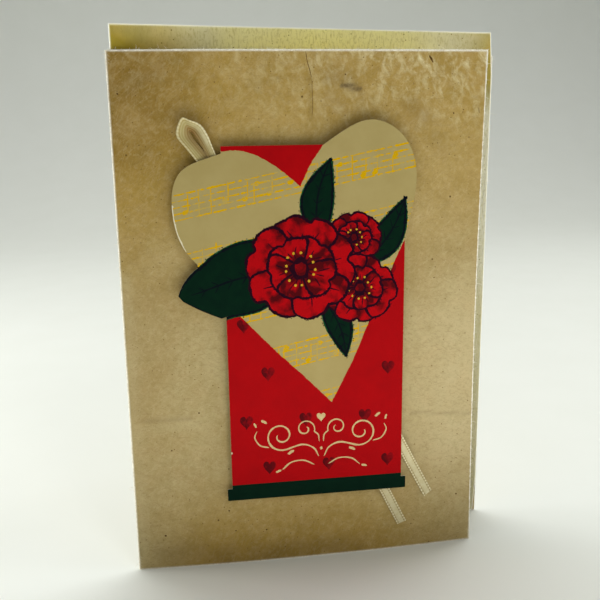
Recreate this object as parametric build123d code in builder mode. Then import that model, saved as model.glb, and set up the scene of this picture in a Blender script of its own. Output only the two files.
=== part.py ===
"""A standing greeting card: a folded paper cover, the envelope in it, and a die-cut tag on foam pads with a ribbon.

Millimetres. +Z is up, the front leaf faces -Y, and the origin is the middle of the footprint on the table.
"""

import os
from math import asin, atan2, cos, degrees, radians, sin, sqrt

from build123d import *

# Cover: one sheet folded once, at its left edge
cover_height = 169.0
front_width = 117.3
back_width = 128.4
cover_paper = 0.45
opening_angle = 8.9
crease_inner = 0.35
front_bulge = 2.1
crown_from_fold = 48.0
edge_hollow = 1.0

# Envelope: stands against the inside of the back leaf
envelope_width = 126.2
envelope_height = 176.0
envelope_thickness = 0.5
envelope_inset = 1.2
envelope_lift = 0.6
envelope_fold_radius = 0.2
shoulder_height = 14.0
shoulder_taper = 0.9
flap_depth = 48.0
flap_slant = 22.0
flap_paper = 0.15
flap_corner = 8.0

# Tag: one printed card, die-cut round its print
tag_card = 0.45
tag_standoff = 1.95
panel_left = 32.5
panel_foot = 30.2
panel_width = 57.7
panel_height = 110.8
bar_height = 5.5
bar_shoulder = 1.3
bar_overhang = 1.6
bar_corner = 0.3
left_lobe_start = 2.2
left_lobe_reach = 15.3
left_lobe_drop = 33.6
right_lobe_run = 26.1
right_lobe_rise = 7.3
right_lobe_reach = 3.5
right_lobe_drop = 30.2
leaf_start = 36.9
leaf_reach = 14.7
leaf_drop = 16.5

# Ribbon: one doubled length against the tag's back, placed from the panel's corners
ribbon_width = 3.2
ribbon_thickness = 0.25
ribbon_clearance = 0.2
left_strand_start = (-8.6, 0.0)
right_strand_start = (-3.5, -0.4)
left_tail_start = (-9.0, 0.4)
left_tail_end = (1.3, -20.5)
right_tail_start = (-2.2, 14.8)
right_tail_end = (10.8, -10.2)
tail_flat = 2.4
tail_landing = 0.6
tail_bend_radius = 6.0
loop_outline = [(-5.6, -7.1), (-13.0, 3.2), (-12.4, 7.6), (-11.1, 8.6), (-5.5, 6.6), (-2.2, 0.1), (0.5, -5.3)]
loop_hole = [(-10.6, 5.7), (-7.1, 4.8), (-5.9, 1.6), (-3.6, -3.0)]
loop_corner = 0.6

# Foam pads: they carry the tag, clear of the ribbon, placed from the panel's corners
pad_side = 8.0
upper_left_pad = (17.5, -11.0)
upper_right_pad = (-10.2, -9.0)
lower_left_pad = (9.5, 19.8)
lower_right_pad = (-5.6, 39.8)

# The front leaf in plan: an arc from the crease to the crown, then a flatter one to the free edge
crease_outer = crease_inner + cover_paper
crown_run = crown_from_fold - crease_outer
rise_radius = (crown_run**2 + front_bulge**2 - crease_outer**2) / (2 * (front_bulge - crease_outer))
edge_run = front_width - crown_from_fold
fall_radius = (edge_run**2 + front_bulge**2) / (2 * front_bulge)
spring_angle = degrees(asin(crown_run / (rise_radius - crease_outer)))


def front_face(from_fold):
    """How far forward (-Y) the front leaf's outer face stands at a distance from the fold."""
    radius = rise_radius if from_fold < crown_from_fold else fall_radius
    return front_bulge - radius + sqrt(radius**2 - (from_fold - crown_from_fold) ** 2)


# Footprint, from the fold: the back leaf's free end and the tag's face are its limits
back_run = back_width - crease_outer
along_back = Vector(cos(radians(opening_angle)), sin(radians(opening_angle)))
out_of_back = Vector(-sin(radians(opening_angle)), cos(radians(opening_angle)))
crease_center = Vector(crease_outer, 0)
back_tip = crease_center + out_of_back * crease_outer + along_back * back_run
tag_back = front_bulge + tag_standoff
reach_right = back_tip.X - out_of_back.X * cover_paper
reach_front = tag_back + tag_card
fold = Vector(-reach_right / 2, (reach_front - back_tip.Y) / 2, 0)

floor = Plane(origin=fold)
tag_back_plane = Plane(origin=fold - Vector(0, tag_back, 0), x_dir=(1, 0, 0), z_dir=(0, -1, 0))
inside_back = crease_center + out_of_back * crease_inner
envelope_rear = Plane(
    origin=fold + Vector(inside_back.X, inside_back.Y, 0) - Vector(*out_of_back) * flap_paper,
    x_dir=Vector(*along_back),
    z_dir=-Vector(*out_of_back),
)
os.makedirs("parts", exist_ok=True)

# Cover
fall_center = Vector(crown_from_fold, fall_radius - front_bulge)
free_edge = Vector(front_width, 0)


def draw_section(depth):
    """Draws the cover's line in plan at a depth into the paper and returns its two ends, front and back."""
    front_end = fall_center + (free_edge - fall_center) * (1 - depth / fall_radius)
    back_end = back_tip - out_of_back * depth
    crease = CenterArc(
        crease_center, crease_outer - depth, 90 + opening_angle, 180 - opening_angle - spring_angle
    )
    rise = TangentArc(crease @ 1, (crown_from_fold, depth - front_bulge), tangent=crease % 1)
    TangentArc(rise @ 1, front_end, tangent=(1, 0))
    Line(crease @ 0, back_end)
    return front_end, back_end


with BuildPart() as card_cover:
    with BuildSketch(floor):
        with BuildLine():
            outer_front, outer_back = draw_section(0)
            inner_front, inner_back = draw_section(cover_paper)
            Line(outer_front, inner_front)
            Line(outer_back, inner_back)
        make_face()
    extrude(amount=cover_height)
    # The free edge of the front leaf is cut slightly hollow
    with BuildSketch(Plane(origin=fold, x_dir=(1, 0, 0), z_dir=(0, -1, 0))):
        with BuildLine():
            beyond = front_width + cover_paper
            Polyline((front_width, 0), (beyond, 0), (beyond, cover_height), (front_width, cover_height))
            ThreePointArc(
                (front_width, 0), (front_width - edge_hollow, cover_height / 2), (front_width, cover_height)
            )
        make_face()
    extrude(amount=front_bulge, both=True, mode=Mode.SUBTRACT)
card_cover.part.label = "card_cover"
export_step(card_cover.part, "parts/card_cover.step")

# Envelope
with BuildPart() as envelope:
    with BuildSketch(envelope_rear):
        with BuildLine():
            left = envelope_inset
            right = envelope_inset + envelope_width
            foot = envelope_lift
            top = envelope_lift + envelope_height
            Polyline(
                (left, foot),
                (right - shoulder_taper, foot),
                (right, foot + shoulder_height),
                (right, top - shoulder_height),
                (right - shoulder_taper, top),
                (left, top),
                close=True,
            )
        make_face()
    extrude(amount=envelope_thickness)
    folded = envelope.edges().filter_by(Axis.Z)
    fillet(folded, radius=envelope_fold_radius)
    # The closing flap, folded over from the right edge and lying flat on the rear
    with BuildSketch(envelope_rear):
        with BuildLine():
            Polyline(
                (right - envelope_fold_radius, foot + shoulder_height),
                (right - envelope_fold_radius, top - shoulder_height),
                (right - flap_depth, top - shoulder_height - flap_slant),
                (right - flap_depth, foot + shoulder_height + flap_slant),
                close=True,
            )
        flap = make_face()
        fillet(flap.vertices().group_by(Axis.X)[0], radius=flap_corner)
    extrude(amount=-flap_paper)
envelope.part.label = "envelope"
export_step(envelope.part, "parts/envelope.step")

# Tag
panel_right = panel_left + panel_width
panel_top = panel_foot + panel_height
bar_foot = panel_foot - bar_height
bar_top = panel_foot - bar_shoulder


def left_of_panel(start, reach, drop, shares):
    """Points beside the panel's left edge: each a share of the reach outwards and a share of the drop."""
    return [(panel_left - reach * out, panel_top - start - drop * down) for out, down in shares]


left_lobe = left_of_panel(
    left_lobe_start,
    left_lobe_reach,
    left_lobe_drop,
    [(0, 0), (0.42, 0.06), (0.81, 0.16), (0.97, 0.31), (1, 0.48), (0.9, 0.75), (0.55, 1)],
)
leaf_upper = left_of_panel(leaf_start, leaf_reach, leaf_drop, [(0.56, 0), (0.83, 0.23), (1, 0.53)])
leaf_lower = left_of_panel(leaf_start, leaf_reach, leaf_drop, [(0.9, 0.64), (0.55, 0.82), (0.1, 1)])
leaf_joint = left_of_panel(leaf_start, leaf_reach, leaf_drop, [(0, 0.97)])[0]

# The right lobe first rises above the panel's top, by shares of its run and rise, and then comes down
# beside the panel's right edge, by shares of its reach and drop
above_panel = [(1, 0), (0.72, 0.65), (0.44, 1), (0.06, 0.42)]
beside_panel = [(1, 0.31), (0.6, 0.69), (0, 1)]
right_lobe = [
    (panel_right - right_lobe_run * back, panel_top + right_lobe_rise * up) for back, up in above_panel
] + [
    (panel_right + right_lobe_reach * out, panel_top - right_lobe_drop * down) for out, down in beside_panel
]
with BuildPart() as tag:
    with BuildSketch(tag_back_plane):
        with BuildLine():
            Polyline(right_lobe[0], (panel_left, panel_top), left_lobe[0])
            Spline(*left_lobe)
            Line(left_lobe[-1], leaf_upper[0])
            Spline(*leaf_upper)
            Line(leaf_upper[-1], leaf_lower[0])
            Spline(*leaf_lower)
            Polyline(
                leaf_lower[-1],
                leaf_joint,
                (panel_left, bar_foot + bar_corner),
                (panel_right, bar_foot + bar_corner),
                right_lobe[-1],
            )
            Spline(*reversed(right_lobe))
        make_face()
        # The bar at the foot is cut a little wider than the panel
        with Locations(((panel_left + panel_right) / 2, (bar_foot + bar_top) / 2)):
            RectangleRounded(panel_width + 2 * bar_overhang, bar_top - bar_foot, bar_corner)
    extrude(amount=tag_card)
tag.part.label = "tag"
export_step(tag.part, "parts/tag.step")

# Ribbon
upper_left = Vector(panel_left, panel_top)
lower_right = Vector(panel_right, panel_foot)
strands = [
    (upper_left + left_strand_start, lower_right + left_tail_start, lower_right + left_tail_end),
    (upper_left + right_strand_start, lower_right + right_tail_start, lower_right + right_tail_end),
]
ribbon_rear = tag_back - ribbon_thickness
with BuildPart() as ribbon:
    # The loop and the two strands below it lie flat on the tag's back
    with BuildSketch(tag_back_plane):
        with BuildLine():
            Polyline(*[upper_left + point for point in loop_outline], close=True)
        loop = make_face()
        fillet(loop.vertices(), radius=loop_corner)
        with BuildLine():
            Polyline(*[upper_left + point for point in loop_hole], close=True)
        make_face(mode=Mode.SUBTRACT)
        for start, tail_start, tail_end in strands:
            run = tail_start - start
            with Locations((start + tail_start) / 2):
                Rectangle(run.length + ribbon_width, ribbon_width, rotation=degrees(atan2(run.Y, run.X)))
    extrude(amount=-ribbon_thickness)
    # Each tail bends back from the tag and comes to lie along the front leaf
    for start, tail_start, tail_end in strands:
        tail = tail_end - tail_start
        along = tail.normalized()
        landing = tail_start + tail * tail_landing
        side_view = Plane(
            origin=fold + Vector(tail_start.X, 0, tail_start.Y),
            x_dir=(along.X, 0, along.Y),
            z_dir=(along.Y, 0, -along.X),
        )
        with BuildSketch(side_view):
            with BuildLine():
                FilletPolyline(
                    (0, ribbon_rear),
                    (tail_flat, ribbon_rear),
                    (tail.length * tail_landing, front_face(landing.X) + ribbon_clearance),
                    (tail.length, front_face(tail_end.X) + ribbon_clearance),
                    radius=tail_bend_radius,
                )
                offset(amount=ribbon_thickness, side=Side.LEFT)
            make_face()
        extrude(amount=ribbon_width / 2, both=True)
ribbon.part.label = "ribbon"
export_step(ribbon.part, "parts/ribbon.step")

# Foam pads: squeezed between the tag's back and the curved front leaf
with BuildSketch() as behind_front:
    with BuildLine():
        Line(*draw_section(0))
    make_face()
pad_places = {
    "foam_pad_upper_left": upper_left + upper_left_pad,
    "foam_pad_upper_right": Vector(panel_right, panel_top) + upper_right_pad,
    "foam_pad_lower_left": Vector(panel_left, panel_foot) + lower_left_pad,
    "foam_pad_lower_right": lower_right + lower_right_pad,
}
for name, place in pad_places.items():
    with BuildPart() as pad:
        with BuildSketch(floor.offset(place.Y - pad_side / 2)):
            with Locations((place.X, -tag_back / 2)):
                Rectangle(pad_side, tag_back)
            add(behind_front.sketch, mode=Mode.SUBTRACT)
        extrude(amount=pad_side)
    pad.part.label = name
    export_step(pad.part, f"parts/{name}.step")
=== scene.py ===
"""Looks of a standing greeting card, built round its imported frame.

Everything is laid out in millimetres from the foot of the card's fold: x along the front leaf to the right,
y backwards, z up. Meshes are moved into the frame, in metres, when they are made.
"""

import random
from math import asin, ceil, cos, exp, pi, radians, sin, sqrt

import bpy
from mathutils import Matrix, Vector, noise
from mathutils.geometry import delaunay_2d_cdt


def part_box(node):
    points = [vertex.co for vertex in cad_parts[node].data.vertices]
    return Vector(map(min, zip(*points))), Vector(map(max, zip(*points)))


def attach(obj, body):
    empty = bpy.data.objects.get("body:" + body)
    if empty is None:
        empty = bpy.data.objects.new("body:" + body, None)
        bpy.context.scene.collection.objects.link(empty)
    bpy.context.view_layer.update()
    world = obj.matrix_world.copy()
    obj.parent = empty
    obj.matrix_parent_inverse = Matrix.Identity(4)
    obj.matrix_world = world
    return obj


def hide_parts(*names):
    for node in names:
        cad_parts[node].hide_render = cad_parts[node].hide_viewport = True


MM = 0.001

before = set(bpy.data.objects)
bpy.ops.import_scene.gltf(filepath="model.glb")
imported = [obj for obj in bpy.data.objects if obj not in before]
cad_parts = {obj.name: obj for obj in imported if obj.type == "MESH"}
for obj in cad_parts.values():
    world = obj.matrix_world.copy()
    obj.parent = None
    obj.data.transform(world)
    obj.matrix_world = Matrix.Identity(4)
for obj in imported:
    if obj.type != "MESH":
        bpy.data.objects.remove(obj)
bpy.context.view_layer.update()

# Cover: the driving sizes of its folded sheet
COVER_PAPER = 0.45
FRONT_WIDTH = 117.3
BACK_WIDTH = 128.4
OPENING = radians(8.9)
CREASE_OUTER = 0.8
FRONT_BULGE = 2.1
CROWN = 48.0
EDGE_HOLLOW = 1.0

cover_low, cover_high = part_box("card_cover")
COVER_HEIGHT = (cover_high.z - cover_low.z) / MM
FOLD = Vector((cover_low.x / MM, cover_low.y / MM + FRONT_BULGE, 0))

ALONG_BACK = Vector((cos(OPENING), sin(OPENING), 0))
OUT_OF_BACK = Vector((-sin(OPENING), cos(OPENING), 0))
CREASE_CENTER = Vector((CREASE_OUTER, 0, 0))
BACK_RUN = BACK_WIDTH - CREASE_OUTER
CROWN_RUN = CROWN - CREASE_OUTER
EDGE_RUN = FRONT_WIDTH - CROWN
RISE_RADIUS = (CROWN_RUN**2 + FRONT_BULGE**2 - CREASE_OUTER**2) / (2 * (FRONT_BULGE - CREASE_OUTER))
FALL_RADIUS = (EDGE_RUN**2 + FRONT_BULGE**2) / (2 * FRONT_BULGE)
SPRING = asin(CROWN_RUN / (RISE_RADIUS - CREASE_OUTER))
FRONT_START = CROWN - RISE_RADIUS * sin(SPRING)

# Tag: its face and its panel, from the frame
tag_low, tag_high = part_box("tag")
TAG_FACE = tag_low.y / MM - FOLD.y
TAG_BACK = tag_high.y / MM - FOLD.y
PANEL_LEFT = 32.5
PANEL_RIGHT = 90.2
PANEL_FOOT = 30.2
PANEL_TOP = 141.0


def unit(value):
    """A value kept between 0 and 1."""
    return max(0, min(1, value))


# Meshes
def mesh_piece(name, points, faces, materials, smooth=True, indices=None):
    """A mesh object from points in millimetres from the fold."""
    mesh = bpy.data.meshes.new(name)
    mesh.from_pydata([(Vector(p) + FOLD) * MM for p in points], [], faces)
    for material in materials:
        mesh.materials.append(material)
    if indices is not None:
        mesh.polygons.foreach_set("material_index", indices)
    mesh.polygons.foreach_set("use_smooth", [smooth] * len(mesh.polygons))
    mesh.update()
    piece = bpy.data.objects.new(name, mesh)
    bpy.context.scene.collection.objects.link(piece)
    return piece


def vertex_values(piece, **named):
    """Stores numbers for each vertex, for the material to read."""
    for name, values in named.items():
        attribute = piece.data.attributes.new(name, "FLOAT", "POINT")
        attribute.data.foreach_set("value", values)


def grid_faces(columns, rows, wrap=False, first=0):
    """Quads of a grid whose points run along each row in turn."""
    faces = []
    for j in range(rows - 1):
        low = first + j * columns
        high = low + columns
        for i in range(columns if wrap else columns - 1):
            k = (i + 1) % columns
            faces.append((low + i, low + k, high + k, high + i))
    return faces


def tube_faces(sides, count, first, faces):
    """Adds the faces of a closed tube whose points run round it, ring by ring."""
    faces.extend(grid_faces(sides, count, wrap=True, first=first))
    faces.append(tuple(first + k for k in reversed(range(sides))))
    faces.append(tuple(first + (count - 1) * sides + k for k in range(sides)))


def tube(path, radii, sides, points, faces):
    """Adds a closed tube along a path to a list of points and faces."""
    first = len(points)
    for i, centre in enumerate(path):
        ahead = path[min(i + 1, len(path) - 1)] - path[max(i - 1, 0)]
        across = ahead.orthogonal().normalized()
        over = ahead.cross(across).normalized()
        for k in range(sides):
            turn = 2 * pi * k / sides
            points.append(centre + (across * cos(turn) + over * sin(turn)) * radii[i])
    tube_faces(sides, len(path), first, faces)


def fractal(x, y, z, scale, octaves=3):
    """Smooth noise of about -1 to 1, with its largest features about as wide as the scale."""
    return noise.fractal(Vector((x, y, z)) / scale, 1.0, 2.0, octaves)


# Curves
def neighbours(line, i, closed=False):
    """The four points that set a line's curve from its point i to the next."""
    count = len(line)
    before = line[(i - 1) % count] if closed or i > 0 else line[0] * 2 - line[1]
    here, ahead = line[i], line[(i + 1) % count]
    after = line[(i + 2) % count] if closed or i + 2 < count else ahead * 2 - here
    return before, here, ahead, after


def curve_point(before, here, ahead, after, t):
    """A place on the curve, from 0 at one point to 1 at the next."""
    return (
        here * 2
        + (ahead - before) * t
        + (before * 2 - here * 5 + ahead * 4 - after) * t * t
        + (here * 3 - before - ahead * 3 + after) * t * t * t
    ) * 0.5


def through(points, step, closed=False):
    """A smooth curve through points of the plane, sampled about a step apart."""
    points = [Vector(p) for p in points]
    line = []
    for i in range(len(points) if closed else len(points) - 1):
        four = neighbours(points, i, closed)
        pieces = max(1, ceil((four[2] - four[1]).length / step))
        line += [curve_point(*four, k / pieces) for k in range(pieces)]
    return line if closed else line + points[-1:]


def normals(line, closed=False):
    """The left-hand normal at each point of a line."""
    count = len(line)
    found = []
    for i in range(count):
        ahead = line[(i + 1) % count] if closed or i < count - 1 else line[i]
        behind = line[i - 1] if closed or i > 0 else line[i]
        run = ahead - behind
        if run.length < 1e-9:
            run = Vector((1, 0))
        found.append(Vector((-run.y, run.x)).normalized())
    return found


def rough(line, depth, scale, seed, closed=False):
    """A line made uneven, as a printed edge is."""
    return [p + n * depth * fractal(p.x, p.y, seed, scale, 2) for p, n in zip(line, normals(line, closed))]


def brush(line, width, seed, roughness=0.25, taper=0.15):
    """The outline of a brush or pen stroke: its width swells and its edges are uneven."""
    count = len(line)
    left, right = [], []
    for i, (p, n) in enumerate(zip(line, normals(line))):
        t = i / (count - 1)
        ends = min(1, min(t, 1 - t) / taper) if taper else 1
        half = width / 2 * (0.35 + 0.65 * sqrt(ends))
        half *= 1 + 0.45 * fractal(p.x, p.y, seed, 2.6, 1)
        left.append(p + n * half * (1 + roughness * fractal(p.x, p.y, seed + 5, 0.5, 3)))
        right.append(p - n * half * (1 + roughness * fractal(p.x, p.y, seed + 9, 0.5, 3)))
    return left + right[::-1]


def blob(centre, radius, seed, stretch=1.0, turn=0.0, corners=9):
    """A small uneven dab of ink."""
    outline = []
    for k in range(corners):
        angle = 2 * pi * k / corners
        reach = radius * (1 + 0.35 * fractal(cos(angle) * 2, sin(angle) * 2, seed, 1.3, 2))
        x, y = reach * cos(angle) * stretch, reach * sin(angle)
        outline.append(
            Vector((centre[0] + x * cos(turn) - y * sin(turn), centre[1] + x * sin(turn) + y * cos(turn)))
        )
    return outline


# Materials
def srgb(red, green, blue):
    """A colour given as it is seen on a screen, 0 to 255."""
    parts = [c / 255 for c in (red, green, blue)]
    return tuple(c / 12.92 if c <= 0.04045 else ((c + 0.055) / 1.055) ** 2.4 for c in parts) + (1.0,)


class Look:
    """A material under construction: its calls add nodes, and its tone is the colour so far."""

    def __init__(self, name, **constants):
        self.material = bpy.data.materials.new(name)
        self.material.use_nodes = True
        self.nodes = self.material.node_tree.nodes
        self.links = self.material.node_tree.links
        self.shader = self.nodes["Principled BSDF"]
        for socket, value in constants.items():
            self.shader.inputs[socket.replace("_", " ")].default_value = value
        self.flat = self.place()
        self.tone = None

    def add(self, kind, inputs=(), output=0, **settings):
        node = self.nodes.new(kind)
        for key, value in settings.items():
            setattr(node, key, value)
        for socket, value in dict(inputs).items():
            self.put(value, node.inputs[socket])
        return node.outputs[output]

    def put(self, value, socket):
        if isinstance(value, bpy.types.NodeSocket):
            self.links.new(value, socket)
        else:
            socket.default_value = value

    def place(self, stretch=(1, 1, 1), turn=(0, 0, 0)):
        """Position on the object in millimetres, turned and then stretched."""
        where = self.add("ShaderNodeTexCoord", output="Object")
        facts = {"Vector": where, "Scale": (1 / MM,) * 3, "Rotation": tuple(radians(a) for a in turn)}
        scaled = self.add("ShaderNodeMapping", facts)
        return self.add("ShaderNodeMapping", {"Vector": scaled, "Scale": tuple(1 / s for s in stretch)})

    def noise(self, scale, detail, roughness, distortion=0.0, where=None):
        facts = {"Scale": 1 / scale, "Detail": detail, "Roughness": roughness, "Distortion": distortion}
        facts["Vector"] = self.flat if where is None else where
        return self.add("ShaderNodeTexNoise", facts, "Fac")

    def cells(self, scale, output):
        facts = {"Vector": self.flat, "Scale": scale, "Randomness": 1.0}
        return self.add("ShaderNodeTexVoronoi", facts, output)

    def specks(self, spacing, size, share):
        """1 on small round specks, of which only a share of the cells has one."""
        near = self.cells(1 / spacing, "Distance")
        pick = self.add("ShaderNodeSeparateColor", {"Color": self.cells(1 / spacing, "Color")}, "Red")
        chosen = self.math("LESS_THAN", pick, share)
        return self.times(self.span(near, size / spacing, 0.5 * size / spacing), chosen)

    def math(self, operation, a, b=0.0, clamp=False):
        return self.add("ShaderNodeMath", {0: a, 1: b}, operation=operation, use_clamp=clamp)

    def times(self, a, b):
        return self.math("MULTIPLY", a, b)

    def waves(self, value, length):
        return self.math("SINE", self.times(value, 2 * pi / length))

    def span(self, value, low, high, to_low=0.0, to_high=1.0):
        """Maps a stretch of a value onto another, clamped."""
        facts = {"Value": value, "From Min": low, "From Max": high, "To Min": to_low, "To Max": to_high}
        return self.add("ShaderNodeMapRange", facts)

    def value_of(self, name):
        return self.add("ShaderNodeAttribute", output="Fac", attribute_name=name)

    def blend(self, share, a, b):
        """Mixes two colours."""
        return self.add("ShaderNodeMix", {0: share, 6: a, 7: b}, 2, data_type="RGBA", clamp_factor=True)

    def start(self, share, a, b):
        """Starts the tone between two colours."""
        self.tone = self.blend(share, srgb(*a), srgb(*b))

    def ramp(self, value, *stops):
        """Starts the tone by a value, through a few colours."""
        node = self.nodes.new("ShaderNodeValToRGB")
        elements = node.color_ramp.elements
        while len(elements) < len(stops):
            elements.new(0.5)
        for element, (position, colour) in zip(elements, stops):
            element.position = position
            element.color = srgb(*colour)
        self.links.new(value, node.inputs["Fac"])
        self.tone = node.outputs["Color"]

    def wash(self, share, *colour):
        """Lays a colour over the tone."""
        self.tone = self.blend(share, self.tone, srgb(*colour))

    def finish(self, rough, height=None, depth=0.05, strength=1.0):
        """Joins the tone, a roughness and a height in millimetres to the shader."""
        self.put(self.tone, self.shader.inputs["Base Color"])
        self.put(rough, self.shader.inputs["Roughness"])
        if height is not None:
            facts = {"Height": height, "Strength": strength, "Distance": depth * MM}
            self.put(self.add("ShaderNodeBump", facts, "Normal"), self.shader.inputs["Normal"])
        return self.material


# The pale of the cover's cut edges and fold: partly the cut fibres' own colour, partly painted highlight.
RIM_PALE = (248, 245, 230)
INK_GLOSS = 0.02
INK_ROUGHNESS = (0.5, 0.62)


def fibre_paper():
    """The cover's paper: brown-cream pulp with clouds, fine crossing fibres and flecks, in part painted light
    and shade: browner at its top, upper left and foot, paler at its lower right, pale streaks of light
    shining through near its top, soft marks with painted shade and highlight, and pale cut edges that are
    partly painted highlight.
    """
    look = Look("fibre_paper", Specular_IOR_Level=0.1)
    clouds = look.noise(22.0, 3.0, 0.55, 0.4)
    broad = look.noise(11.0, 4.0, 0.6, 0.6)
    patches = look.noise(5.0, 3.0, 0.55, 0.3)
    felt = look.noise(1.5, 3.0, 0.6)
    grain = look.noise(0.55, 2.0, 0.6)
    streaks = look.noise(1.0, 5.0, 0.66, 0.5, look.place((3.0, 2.0, 4.4), (0, 14, 0)))
    fibres = []
    for turn, length, width in ((38, 3.4, 0.40), (-35, 3.0, 0.36), (72, 2.6, 0.40), (5, 2.8, 0.36)):
        strands = look.noise(1.0, 2.0, 0.5, 0.8, look.place((length, 2.0, width), (0, turn, 0)))
        fibres.append(look.span(strands, 0.56, 0.68))
    lit = look.math("ADD", fibres[0], fibres[2], clamp=True)
    dim = look.math("ADD", fibres[1], fibres[3], clamp=True)
    grain_mask = look.span(grain, 0.3, 0.6, 0.6, 1.0)
    tan, stain = look.value_of("tan"), look.value_of("stain")
    look.ramp(clouds, (0.3, (164, 141, 90)), (0.5, (173, 153, 104)), (0.7, (181, 164, 117)))
    # The front leaf's tone: browner at its top and upper left, partly painted shade, and at its foot, painted
    # shade; paler at its lower right, partly painted light.
    look.wash(tan, 172, 142, 70)
    look.wash(look.span(tan, 1.0, 1.6), 144, 113, 46)
    look.wash(look.span(tan, 0.0, -0.9, 0.0, 0.75), 206, 192, 150)
    look.wash(look.span(patches, 0.45, 0.75, 0.0, 0.22), 196, 170, 124)
    look.wash(look.span(patches, 0.46, 0.24, 0.0, 0.22), 146, 126, 68)
    look.wash(look.times(tan, look.span(broad, 0.5, 0.7, 0.0, 0.28)), 200, 172, 112)
    look.wash(look.times(tan, look.span(broad, 0.48, 0.3, 0.0, 0.3)), 138, 114, 54)
    # Pale streaks near the top: painted light shining through the paper.
    look.wash(look.times(look.value_of("cloud"), look.span(streaks, 0.46, 0.72)), 228, 216, 170)
    look.wash(look.span(felt, 0.52, 0.8, 0.0, 0.34), 204, 186, 140)
    look.wash(look.span(felt, 0.46, 0.22, 0.0, 0.34), 140, 116, 64)
    look.wash(look.times(lit, 0.13), 214, 198, 156)
    look.wash(look.times(dim, 0.19), 122, 98, 50)
    look.wash(look.span(grain, 0.42, 0.22, 0.0, 0.36), 118, 94, 48)
    look.wash(look.specks(6.0, 0.42, 0.3), 98, 74, 38)
    look.wash(look.specks(1.9, 0.26, 0.3), 122, 98, 50)
    # Soft marks: mostly marks of the paper, with painted shade along the foot and a painted highlight beside
    # the fold.
    look.wash(look.times(look.span(stain, 0.0, 1.0), grain_mask), 112, 94, 62)
    look.wash(look.times(look.span(stain, 0.0, -1.0), grain_mask), 206, 192, 150)
    # Pale rims: partly the cut fibres' own pale and partly painted highlight at the cut edges, wholly painted
    # highlight along the fold.
    look.wash(look.times(look.value_of("rim"), grain_mask), *RIM_PALE)
    height = look.math("ADD", look.times(lit, 0.3), look.times(grain, 0.5))
    height = look.math("ADD", height, look.times(felt, 1.4))
    return look.finish(look.span(patches, 0.3, 0.7, 0.85, 0.95), height, 0.09, 0.5)


def envelope_paper():
    """The envelope's paper: pale, with fine olive flecks; olive where the mesh's value is above 0, painted
    shade on its front and a tint on its rear, and paler where it is below 0, painted light shining through
    it.
    """
    look = Look(
        "envelope_paper",
        Specular_IOR_Level=0.1,
        Subsurface_Weight=0.8,
        Subsurface_Radius=(1.0, 0.95, 0.7),
        Subsurface_Scale=1.5 * MM,
    )
    clouds = look.noise(14.0, 3.0, 0.6)
    grain = look.noise(0.8, 3.0, 0.65)
    upright = look.noise(1.0, 3.0, 0.6, where=look.place((0.5, 1.0, 1.8)))
    olive = look.value_of("olive")
    # The olive colour: painted shade on the envelope's front and its lower part, a tint on its rear.
    shade_and_tone = look.blend(look.span(clouds, 0.4, 0.6), srgb(152, 138, 50), srgb(172, 153, 64))
    look.ramp(clouds, (0.32, (204, 199, 170)), (0.68, (214, 210, 184)))
    look.tone = look.blend(look.span(olive, 0.0, 1.0), look.tone, shade_and_tone)
    # Below 0, painted light shining through the paper.
    look.wash(look.span(olive, 0.0, -1.0), 240, 232, 172)
    look.wash(look.span(upright, 0.5, 0.75, 0.0, 0.5), 150, 138, 74)
    look.wash(look.span(grain, 0.44, 0.24, 0.0, 0.5), 140, 128, 64)
    look.wash(look.specks(1.7, 0.24, 0.5), 116, 104, 48)
    look.wash(look.value_of("rim"), 240, 238, 222)
    height = look.math("ADD", grain, clouds)
    return look.finish(look.span(grain, 0.3, 0.7, 0.8, 0.92), height, 0.05, 0.5)


def rim_fibre(name, colour):
    """The torn-soft fibres of a cut edge."""
    look = Look(name, Specular_IOR_Level=0.1)
    grain = look.noise(0.5, 3.0, 0.7)
    look.start(look.span(grain, 0.45, 0.8), colour, (212, 202, 168))
    return look.finish(look.span(grain, 0.3, 0.7, 0.85, 0.95), grain, 0.08, 0.6)


def printed(look, roughness=INK_ROUGHNESS):
    """Ends a printed field with the card's fine tooth."""
    tooth = look.noise(0.35, 2.0, 0.6)
    return look.finish(look.span(tooth, 0.3, 0.7, *roughness), tooth, 0.02, 0.4)


def plain_ink(name, colour, darker, scale=3.0, roughness=INK_ROUGHNESS, share=0.6):
    """A printed field: one ink, a little uneven."""
    look = Look(name, Specular_IOR_Level=INK_GLOSS)
    look.start(look.span(look.noise(scale, 4.0, 0.6), 0.38, 0.68, 0.0, share), colour, darker)
    return printed(look, roughness)


def washed_ink(name, colour, shade):
    """A watercolour field: one ink with darker washes, where the mesh says they are."""
    look = Look(name, Specular_IOR_Level=INK_GLOSS)
    uneven = look.span(look.noise(3.2, 4.0, 0.62, 0.5), 0.3, 0.7, -0.26, 0.26)
    look.start(look.span(look.math("ADD", look.value_of("wash"), uneven), 0.12, 0.68), colour, shade)
    return printed(look)


def dabbed_ink(name, colour, ground):
    """A dry printed line: ink that has taken in some places and not in others."""
    look = Look(name, Specular_IOR_Level=INK_GLOSS)
    taken = look.math("ADD", look.noise(0.7, 3.0, 0.7), look.noise(4.5, 2.0, 0.5))
    look.start(look.span(taken, 0.82, 0.98, 0.06, 1.0), ground, colour)
    return printed(look)


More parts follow.
